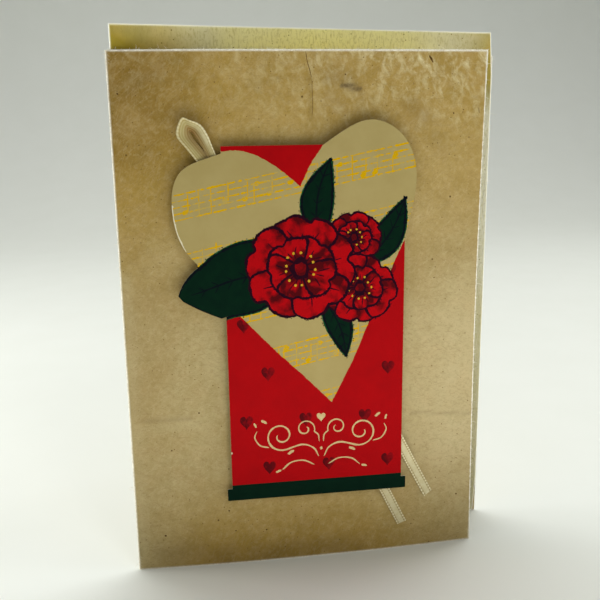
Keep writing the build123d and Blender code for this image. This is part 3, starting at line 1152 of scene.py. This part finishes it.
def lay_blossom(page, flower, seed, draw):
    rings = ((1.0, 1.16, 0.09, 0.0), (0.64, 0.78, 0.07, 0.5))
    for ring, (reach_share, width_share, notch, offset) in enumerate(rings):
        for k in range(flower.petals):
            axis = flower.turn + 2 * pi * (k + offset) / flower.petals + draw.uniform(-0.07, 0.07)
            reach = flower.radius * reach_share * draw.uniform(0.94, 1.04)
            width = flower.radius * width_share * 5 / flower.petals
            lay_petal(page, flower, axis, reach, width, notch, seed + ring * 10 + k, draw)
    lay_eye(page, flower, seed, draw)


def leaf_outline(base, tip, width, bow):
    """A pointed leaf from its base to its tip, and its midrib."""
    base, tip = Vector(base), Vector(tip)
    run = tip - base
    side = Vector((-run.y, run.x)).normalized()
    shares = [k / 12 for k in range(13)]
    rib = [base.lerp(tip, t) + side * bow * sin(pi * t) for t in shares]
    halves = [width / 2 * sin(pi * t**0.8) ** 0.85 for t in shares]
    right = [p - side * h for p, h in zip(rib, halves)]
    left = [p + side * h for p, h in zip(rib, halves)]
    return through(right, 0.34)[:-1] + through(left[::-1], 0.34)[:-1], rib


def leaf_veins(rib, seed, draw):
    """The midrib and the pairs of side veins that leave it."""
    veins = [brush(through(rib[1:-1], 0.6), 0.6, seed + 7, 0.35, 0.3)]
    for k in range(3, len(rib) - 3, 2):
        ahead = (rib[k + 1] - rib[k]).normalized()
        for turn in (0.75, -0.75):
            heading = Vector(
                (ahead.x * cos(turn) - ahead.y * sin(turn), ahead.x * sin(turn) + ahead.y * cos(turn))
            )
            reach = draw.uniform(2.2, 3.4)
            vein = [rib[k] + heading * reach * t for t in (0, 0.25, 0.5, 0.75, 1)]
            veins.append(brush(vein, 0.36, seed + k, 0.3, 0.5))
    return veins


def lay_leaf(page, outline, rib, seed, draw):
    """A leaf: a brighter margin, a dark body, its ink line and its veins."""
    outline = anticlockwise(outline)
    inner = [p + n * 0.7 for p, n in zip(outline, normals(outline, True))]
    page.lay("leaf_margin", [rough(outline, 0.14, 0.8, seed, True)])
    page.lay("leaf_green", [rough(inner, 0.1, 1.2, seed + 2, True)])
    middle = sum(outline, Vector((0, 0))) / len(outline)
    beside = [p - n * 0.5 for p, n in zip(inner, normals(inner, True))]
    page.lay("leaf_bare", speckle(beside, middle, 0.3, 26, draw))
    strokes = []
    count = len(inner)
    pieces = 9
    for k in range(pieces):
        path = [inner[i % count] for i in range(int(count * k / pieces), int(count * (k + 1) / pieces) + 2)]
        strokes.append(brush(path, draw.uniform(0.6, 1.0), seed + k, 0.8, 0.1))
    page.lay("leaf_ink", strokes + speckle(outline, middle, 0.4, 40, draw))
    page.lay("leaf_ink", leaf_veins(rib, seed, draw))


# Leaves that stand up, right and down from the spray: base, tip, width, bow and seed
LEAVES = (
    ((62.0, 112.0), (66.5, 137.2), 11.0, 2.2, 50),
    ((76.0, 103.0), (90.4, 124.6), 10.5, -2.2, 60),
    ((64.0, 92.0), (71.2, 72.4), 9.0, 1.6, 70),
)
SIDE_LEAF = (
    (48.0, 112.0), (41.9, 112.6), (36.0, 111.6), (31.3, 109.5), (28.1, 107.6), (25.5, 105.3), (22.0, 102.6),
    (18.9, 99.2), (17.2, 95.4), (18.8, 93.0), (21.7, 91.4), (26.6, 88.7), (31.0, 86.9), (35.0, 87.6),
    (39.5, 88.3), (44.0, 89.6), (50.0, 94.0), (52.0, 104.0),
)
SPRAY = (
    (Blossom((73.6, 112.0), 8.4, 0.3, 5), 200),
    (Blossom((75.6, 95.6), 11.2, 0.8, 5), 100),
    (Blossom((56.4, 102.6), 16.4, 0.2, 5), 0),
)


def lay_spray(page, draw):
    """The leaves, and the blossoms over them."""
    side_rib = [Vector((46.0 - 2.2 * k, 101.0 - 0.42 * k + 0.9 * sin(k / 2.5))) for k in range(13)]
    lay_leaf(page, through(SIDE_LEAF, 0.34, True), side_rib, 40, draw)
    for base, tip, width, bow, seed in LEAVES:
        leaf, rib = leaf_outline(base, tip, width, bow)
        lay_leaf(page, leaf, rib, seed, draw)
    for flower, seed in SPRAY:
        lay_blossom(page, flower, seed, draw)


def spiral(centre, start, turns, outer, inner, hand):
    """A scroll that winds in about a centre."""
    steps = ceil(turns * 26)
    line = []
    for k in range(steps + 1):
        angle = start + hand * 2 * pi * turns * k / steps
        line.append(Vector(centre) + Vector((cos(angle), sin(angle))) * (outer + (inner - outer) * k / steps))
    return line


ORNAMENT_MIDDLE = 62.6
ORNAMENT_LEVEL = 45.0


def lay_ornament(page):
    """A mirror-symmetric scroll, drawn with a pen, below the heart."""
    middle, level = ORNAMENT_MIDDLE, ORNAMENT_LEVEL
    scroll = spiral((13.5, 1.6), -1.9, 1.35, 5.2, 1.2, 1)
    small = spiral((5.4, 3.6), 3.5, 1.2, 3.3, 0.8, -1)
    lead = through([(0.9, -6.5), (2.6, -3.4), (6.4, -1.9), scroll[0]], 0.5)
    half = [
        (lead[:-1] + scroll, 0.56),
        (through([(0.7, -1.2), (1.0, 1.2), small[0]], 0.5)[:-1] + small, 0.46),
        (through([(17.6, -2.2), (20.6, -1.2), (22.2, 1.6), (21.4, 3.8)], 0.5), 0.46),
        (through([(2.4, -9.4), (6.0, -7.6), (10.2, -8.0), (13.2, -10.4)], 0.5), 0.46),
    ]
    dabs = [(19.1, 7.0, 0.5, 0.6), (10.4, -4.4, 0.55, -0.5), (22.0, 6.0, 0.4, 1.2), (14.6, -10.9, 0.45, -0.3)]
    strokes = []
    for hand in (1, -1):
        for path, width in half:
            placed = [Vector((middle + hand * p.x, level + p.y)) for p in path]
            strokes.append(brush(placed, width, 3, 0.12, 0.12))
        for x, z, size, turn in dabs:
            strokes.append(blob((middle + hand * x, level + z), size, 5, 2.1, hand * turn, 14))
    strokes.append(small_heart(middle, level + 7.6, 3.0, 1.1))
    strokes.append(blob((middle, level - 3.6), 0.5, 8, 1.0, 0, 12))
    page.lay("scroll_cream", strokes)


# Small hearts: three to a row, and every other row stands further left
HEART_COLUMNS = (45.4, 37.7)
HEART_ACROSS = 20
HEART_UP = 16.35


def lay_hearts(page, draw):
    hearts = []
    for row in range(6):
        for column in range(3):
            x = HEART_COLUMNS[row % 2] + HEART_ACROSS * column
            hearts.append(small_heart(x + draw.uniform(-0.3, 0.3), 35.9 + HEART_UP * row, 4.3, 1.26))
    page.lay("heart_ink", hearts, wash=heart_wash)


def heart_wash(x, z):
    """The small hearts are darker at their left and streaked."""
    nearest = min((c + HEART_ACROSS * k for c in HEART_COLUMNS for k in range(3)), key=lambda c: abs(c - x))
    return 0.3 + 0.13 * (x - nearest) + 0.45 * fractal(x * 2.2, z * 0.6, 4, 1.0, 2)


def tag_print(outline):
    """All the layers of the print, from the ground up."""
    draw = random.Random(31)
    page = Print()
    page.lay("card_red", [outline])
    lay_hearts(page, draw)
    cream = page.lay("heart_cream", [lobed_heart()])
    page.lay("stave_yellow", stave_print(draw), within=cream)
    lay_spray(page, draw)
    page.lay("bar_green", [[Vector(p) for p in ((28, 22), (94, 22), (94, PANEL_FOOT), (28, PANEL_FOOT))]])
    lay_ornament(page)
    # A pale band along the left lobe's cut edge, partly bare card and partly painted highlight of the lit
    # edge, and two small pale dabs.
    bare = sorted((p for p in outline if p.x < 30 and 108 < p.y < 124), key=lambda p: -p.y)
    bare_edge_highlight = brush(through(bare, 0.5), 0.7, 12, 0.3, 0.2)
    page.lay("card_bare", [bare_edge_highlight, blob(bare[0], 0.5, 3), blob((32.6, 41.7), 0.35, 4)])
    return page


# Grid of added points under the spray, which carries its washes: spacing, left, right, foot and top
WASH_GRID = (0.9, 38, 88, 82, 122)


def wash_grid():
    grid, left, right, foot, top = WASH_GRID
    return [
        Vector((left + grid * (i + 0.5 * (j % 2)), foot + grid * j))
        for i in range(int((right - left) / grid))
        for j in range(int((top - foot) / grid))
    ]


def spilt_outlines(shapes, flat, triangles, inside):
    """The outlines that the triangles fill wrongly, as they do where one crosses itself, and their boxes."""
    filled = [0.0] * len(shapes)
    for (a, b, c), within in zip(triangles, inside):
        for i in within:
            filled[i] += abs((flat[b] - flat[a]).cross(flat[c] - flat[a])) / 2
    spilt = {}
    for i, shape in enumerate(shapes):
        if abs(filled[i] - enclosed(shape)) > 0.4 * enclosed(shape) + 0.05:
            xs, ys = [p.x for p in shape], [p.y for p in shape]
            spilt[i] = (shape, min(xs), max(xs), min(ys), max(ys))
    return spilt


def tag_card(inks):
    """The die-cut card: a printed face, pale cut edges and a pale back."""
    outline = cut_outline()
    page = tag_print(outline)
    shapes, owners = [], []
    for number, (_, layer, _, _) in enumerate(page.layers):
        shapes += [well_started(shape) for shape in layer]
        owners += [number] * len(layer)
    points, outlines = [], []
    for shape in shapes:
        outlines.append(list(range(len(points), len(points) + len(shape))))
        points.extend(shape)
    flat, _, triangles, _, _, inside = delaunay_2d_cdt(points + wash_grid(), [], outlines, 1, 1e-4, True)
    spilt = spilt_outlines(shapes, flat, triangles, inside)
    names = list(inks)
    corners, faces, indices, washes = [Vector((p.x, TAG_FACE, p.y)) for p in flat], [], [], []
    for triangle, within in zip(triangles, inside):
        covering = {owners[i] for i in within if i not in spilt}
        middle = (flat[triangle[0]] + flat[triangle[1]] + flat[triangle[2]]) / 3
        for i, (shape, left, right, foot, top) in spilt.items():
            if left < middle.x < right and foot < middle.y < top and winding(middle, shape) > 0:
                covering.add(owners[i])
        if 0 not in covering:
            continue
        upper = max(n for n in covering if page.layers[n][2] is None or page.layers[n][2] in covering)
        ink, _, _, wash = page.layers[upper]
        faces.append(tuple(triangle))
        indices.append(names.index(ink))
        washes.extend(wash(flat[k].x, flat[k].y) if wash else 0.0 for k in triangle)
    first = len(corners)
    count = len(outline)
    corners += [Vector((p.x, y, p.y)) for y in (TAG_FACE, TAG_BACK) for p in outline]
    for k in range(count):
        ahead = (k + 1) % count
        faces.append((first + ahead, first + k, first + count + k, first + count + ahead))
    faces.append(tuple(first + count + k for k in reversed(range(count))))
    indices += [names.index("card_core")] * (count + 1)
    washes += [0.0] * (4 * count + count)
    piece = mesh_piece("tag_card", corners, faces, list(inks.values()), smooth=False, indices=indices)
    attribute = piece.data.attributes.new("wash", "FLOAT", "CORNER")
    attribute.data.foreach_set("value", washes)
    return piece


INKS = {
    "card_red": (plain_ink, (168, 8, 14), (152, 8, 14), 8.0),
    "heart_ink": (washed_ink, (84, 10, 16), (140, 10, 18)),
    "heart_cream": (plain_ink, (172, 155, 101), (162, 144, 89), 10.0),
    "stave_yellow": (dabbed_ink, (206, 161, 4), (178, 158, 90)),
    "leaf_margin": (plain_ink, (12, 70, 36), (8, 48, 26), 2.0),
    "leaf_green": (plain_ink, (6, 34, 20), (4, 24, 18), 3.0),
    "leaf_bare": (plain_ink, (120, 140, 108), (70, 104, 76), 0.6),
    "leaf_ink": (plain_ink, (8, 12, 20), (10, 20, 20), 1.5),
    "petal_red": (washed_ink, (172, 8, 16), (78, 8, 14)),
    "blossom_ink": (plain_ink, (30, 6, 22), (48, 8, 20), 1.2),
    "blossom_dots": (plain_ink, (200, 158, 40), (180, 136, 30), 1.2),
    "bar_green": (plain_ink, (6, 32, 20), (4, 25, 16), 6.0),
    "scroll_cream": (plain_ink, (206, 186, 134), (188, 150, 104), 2.5),
    "card_bare": (plain_ink, (224, 216, 184), (208, 198, 160), 1.0),
    "card_core": (rim_fibre, (214, 206, 176)),
}
card = tag_card({name: make(name, *facts) for name, (make, *facts) in INKS.items()})
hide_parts("tag")
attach(card, "root")

# Ribbon
RIBBON_WIDTH = 3.35
RIBBON_THICK = 0.25
RIBBON_CLEARANCE = 0.2
STITCH = 1.12
ACROSS = [-1, -0.95, -0.88, -0.8, -0.74, -0.69, -0.65, -0.6, -0.5, -0.25, 0]
ACROSS += [-u for u in reversed(ACROSS[:-1])]


def even(t, u):
    return 0.0


def ribbon_strip(name, edges, material, shade=even, tint=even, crisp=1.0):
    """A woven strip between two edge lines, with a bead along each edge and a row of stitches beside it."""
    points = []
    facts = {fact: [] for fact in ("across", "along", "gap", "stitch", "shade", "tint")}
    count = len(ACROSS)
    run = 0.0
    for i, (left, right) in enumerate(edges):
        before = edges[max(i - 1, 0)]
        after = edges[min(i + 1, len(edges) - 1)]
        run += (left - before[0]).length
        ahead = (after[0] + after[1]) - (before[0] + before[1])
        face = (right - left).cross(ahead).normalized()
        if face.y > 0 and name.startswith("ribbon_tail"):
            face = -face
        dash = 0.5 + 0.5 * cos(2 * pi * run / STITCH)
        for side in (1, -1):
            for u in ACROSS[::side]:
                reach = abs(u)
                picot = exp(-(((reach - 0.87) / 0.15) ** 4))
                row = exp(-(((reach - 0.65) / 0.095) ** 2))
                thick = RIBBON_THICK / 2 * (1 if reach < 0.999 else 0.35) + picot * 0.07 * dash - row * 0.04
                p = (left + right) / 2 + (right - left) / 2 * u * (1 + 0.012 * dash * (reach > 0.9))
                points.append(p + face * thick * side)
                t = i / (len(edges) - 1)
                dark, olive = shade(t, u), tint(t, u)
                gap = max(row * (0.45 + 0.55 * (1 - dash)), picot * 0.6 * (1 - dash))
                stitch = picot * (1 - crisp + crisp * dash) * (1 - dark) * (1 - 0.7 * olive)
                found = (u * RIBBON_WIDTH / 2, run, gap * (1 - dark) * crisp, stitch, dark, olive)
                for values, value in zip(facts.values(), found):
                    values.append(value)
    faces = grid_faces(2 * count, len(edges), wrap=True)
    last = (len(edges) - 1) * 2 * count
    for k in range(count - 1):
        faces.append((k + 1, k, 2 * count - 1 - k, 2 * count - 2 - k))
        faces.append((last + k, last + k + 1, last + 2 * count - 2 - k, last + 2 * count - 1 - k))
    piece = mesh_piece(name, points, faces, [material])
    vertex_values(piece, **facts)
    return piece


SLANTING = 24


def flat_strip(path, width, slant):
    """Edge lines either side of a path across the y direction; its end is cut at a slant."""
    edges = []
    for i, p in enumerate(path):
        ahead = path[min(i + 1, len(path) - 1)] - path[max(i - 1, 0)]
        side = Vector((ahead.z, 0, -ahead.x)).normalized() * width / 2
        slide = ahead.normalized() * slant / 2 * max(0, 1 - (len(path) - 1 - i) / SLANTING)
        edges.append((p - side - slide, p + side + slide))
    return edges


def strand_path(start, tail_start, tail_end, off_tag):
    """Down behind the tag, then away from it and on to the front leaf."""
    behind = TAG_BACK + RIBBON_THICK / 2 + off_tag
    path = []
    for k in range(60):
        p = start.lerp(tail_start, k / 60)
        path.append(Vector((p.x, behind, p.y)))
    tail = (tail_end - tail_start).length
    steps = int(tail / 0.155)
    for k in range(steps + 1):
        t = k / steps
        p = tail_start.lerp(tail_end, t)
        rest = front_point(p.x, 90).y - RIBBON_CLEARANCE - RIBBON_THICK / 2
        share = unit((t * tail - 1.5) / (0.6 * tail - 1.5))
        path.append(Vector((p.x, behind + (rest - behind) * share * share * (3 - 2 * share), p.y)))
    return path


# The loop's two edges: the outer one stands forward and the inner one lies back, as in a funnel
LOOP_OUTER = [
    (28.7, -3.5, 132.2), (27.0, -3.55, 134.4), (25.1, -3.9, 136.8), (22.3, -4.6, 140.5), (19.7, -5.1, 144.0),
    (19.9, -5.3, 146.8), (21.4, -5.4, 149.5), (23.5, -5.3, 148.9), (26.8, -5.0, 147.4), (28.8, -4.7, 144.4),
    (29.9, -4.3, 141.6), (31.0, -4.0, 138.8), (32.2, -3.92, 135.6), (33.2, -3.92, 132.4),
]
LOOP_INNER = [
    (31.3, -3.5, 134.1), (30.0, -3.5, 136.1), (28.8, -3.45, 138.1), (26.5, -3.1, 140.9), (24.7, -2.9, 143.2),
    (23.9, -2.85, 144.6), (23.6, -2.8, 145.3), (23.9, -2.8, 145.5), (24.5, -2.85, 144.9), (25.6, -3.0, 143.3),
    (26.9, -3.3, 141.2), (28.3, -3.7, 138.3), (29.3, -3.9, 134.7), (30.2, -3.92, 131.4),
]
LOOP_STEPS = 26


def loop_edges():
    lines = [[Vector(p) for p in line] for line in (LOOP_OUTER, LOOP_INNER)]
    return [
        tuple(curve_point(*neighbours(line, i), k / LOOP_STEPS) for line in lines)
        for i in range(len(LOOP_OUTER) - 1)
        for k in range(LOOP_STEPS)
    ]


def loop_shade(t, u):
    """The inner half of the loop lies in its own shade, deepest round the bend."""
    inner = unit((u + 0.2) / 0.55)
    return min(1, inner * (0.6 + 0.4 * exp(-(((t - 0.56) / 0.17) ** 2))) * (0.85 + 0.15 * max(0, u)))


def loop_painted_light(t, u):
    """The loop is tinted olive as painted light shining through it, apart from the outer half of its right
    arm.
    """
    return 0.85 - 0.75 * exp(-(((t - 0.7) / 0.13) ** 2)) * unit(0.6 - u)


# Strands: a start from the panel's upper left, both ends of the tail from its lower right, and then
# how far it lies off the tag and the slant of its cut
STRANDS = (
    ("ribbon_tail_left", (-2.0, -8.0), (-8.6, 0.4), (1.4, -20.4), 0.42, -0.3),
    ("ribbon_tail_right", (-0.6, -8.6), (-2.2, 14.8), (10.8, -10.2), 0.01, 0.8),
)
weave = ribbon_weave()
ribbon_pieces = [ribbon_strip("ribbon_loop", loop_edges(), weave, loop_shade, loop_painted_light, 0.4)]
for name, start, tail_start, tail_end, off_tag, slant in STRANDS:
    upper_left, lower_right = Vector((PANEL_LEFT, PANEL_TOP)), Vector((PANEL_RIGHT, PANEL_FOOT))
    tail = [lower_right + Vector(end) for end in (tail_start, tail_end)]
    path = strand_path(upper_left + Vector(start), *tail, off_tag)
    ribbon_pieces.append(ribbon_strip(name, flat_strip(path, RIBBON_WIDTH, slant), weave))
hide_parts("ribbon")
for piece in ribbon_pieces:
    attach(piece, "root")

# Foam pads stay as they are and take their finish
foam_look = foam()
for name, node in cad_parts.items():
    if name.startswith("foam_pad"):
        for slot in node.material_slots:
            slot.material = foam_look

# Camera: the photograph's viewing angle
CAMERA_PLACE = Vector((22.8049, -240.2293, 146.4776))
CAMERA_PITCH = 0.2230
CAMERA_YAW = 0.1402
CAMERA_ROLL = 0.0139
CAMERA_FOCAL = 764.98
FRAME_PIXELS = 600
SENSOR = 36.0


def set_camera():
    pitch, yaw, roll = CAMERA_PITCH, CAMERA_YAW, CAMERA_ROLL
    forward = Vector((sin(yaw) * cos(pitch), cos(yaw) * cos(pitch), -sin(pitch)))
    level = Vector((cos(yaw), -sin(yaw), 0))
    down = forward.cross(level)
    right = level * cos(roll) + down * sin(roll)
    below = down * cos(roll) - level * sin(roll)
    data = bpy.data.cameras.new("camera")
    data.lens = CAMERA_FOCAL / FRAME_PIXELS * SENSOR
    data.sensor_width = SENSOR
    data.clip_start = 0.01
    data.clip_end = 20
    camera = bpy.data.objects.new("camera", data)
    bpy.context.scene.collection.objects.link(camera)
    turn = Matrix((right, -below, -forward)).transposed().to_4x4()
    camera.matrix_world = Matrix.Translation((CAMERA_PLACE + FOLD) * MM) @ turn
    bpy.context.scene.camera = camera


# Floor and backdrop, in metres
FLOOR_HALF = 3.0
FLOOR_FRONT = -1.6
BEND_START = 0.75
BEND_RADIUS = 0.5
WALL_TOP = 2.4


def set_stage():
    """A pale floor that curves up into a pale backdrop."""
    look = Look("stage_pale", Specular_IOR_Level=0.2)
    look.start(look.noise(40.0, 2.0, 0.5), (228, 231, 222), (232, 235, 227))
    line = [(FLOOR_FRONT, 0.0), (0.0, 0.0)]
    for a in (radians(9 * k) for k in range(11)):
        line.append((BEND_START + BEND_RADIUS * sin(a), BEND_RADIUS - BEND_RADIUS * cos(a)))
    line.append((BEND_START + BEND_RADIUS, WALL_TOP))
    points = [(x, y, z) for y, z in line for x in (-FLOOR_HALF, FLOOR_HALF)]
    mesh = bpy.data.meshes.new("floor")
    mesh.from_pydata(points, [], grid_faces(2, len(line)))
    mesh.polygons.foreach_set("use_smooth", [True] * len(mesh.polygons))
    mesh.materials.append(look.finish(0.8))
    floor = bpy.data.objects.new("floor", mesh)
    bpy.context.scene.collection.objects.link(floor)


WORLD_LIGHT = 0.2
WORLD_SEEN = 0.78


def set_world():
    """Even light from all round, behind a paler background."""
    world = bpy.data.worlds.new("world")
    bpy.context.scene.world = world
    world.use_nodes = True
    nodes, links = world.node_tree.nodes, world.node_tree.links
    rays = nodes.new("ShaderNodeLightPath")
    seen = rays.outputs["Is Camera Ray"]
    for kind in ("Is Glossy Ray", "Is Transmission Ray"):
        either = nodes.new("ShaderNodeMath")
        either.operation = "MAXIMUM"
        links.new(seen, either.inputs[0])
        links.new(rays.outputs[kind], either.inputs[1])
        seen = either.outputs[0]
    strength = nodes.new("ShaderNodeMapRange")
    strength.inputs["To Min"].default_value = WORLD_LIGHT
    strength.inputs["To Max"].default_value = WORLD_SEEN
    links.new(seen, strength.inputs["Value"])
    links.new(strength.outputs["Result"], nodes["Background"].inputs["Strength"])
    nodes["Background"].inputs["Color"].default_value = (1, 1, 1, 1)


# Lamps: name, place, aim, size and power, in metres and watts
LAMPS = (
    ("front", (0.35, -0.85, 0.8), (0, 0, 0.08), (0.22, 0.22), 1.3),
    ("right", (0.7, -0.16, 0.3), (0, 0, 0.09), (0.25, 0.25), 1.15),
    ("low", (0.18, -0.13, 0.006), (0.18, -0.13, 1.0), (0.56, 0.14), 0.55),
    ("behind", (0.12, 0.5, 1.3), (0, -0.6, 0.0), (2.4, 0.6), 20.0),
    ("fold_side", (-0.62, 0.12, 0.12), (-0.06, 0, 0.09), (0.2, 0.2), 2.6),
)


def set_lamps():
    for name, place, aim, size, power in LAMPS:
        data = bpy.data.lights.new(name, "AREA")
        data.shape = "RECTANGLE"
        data.size, data.size_y = size
        data.energy = power
        lamp = bpy.data.objects.new(name, data)
        lamp.location = place
        lamp.rotation_euler = (Vector(aim) - Vector(place)).to_track_quat("-Z", "Y").to_euler()
        lamp.visible_camera = False
        bpy.context.scene.collection.objects.link(lamp)


set_camera()
set_stage()
set_world()
set_lamps()
bpy.context.scene.view_settings.view_transform = "Standard"
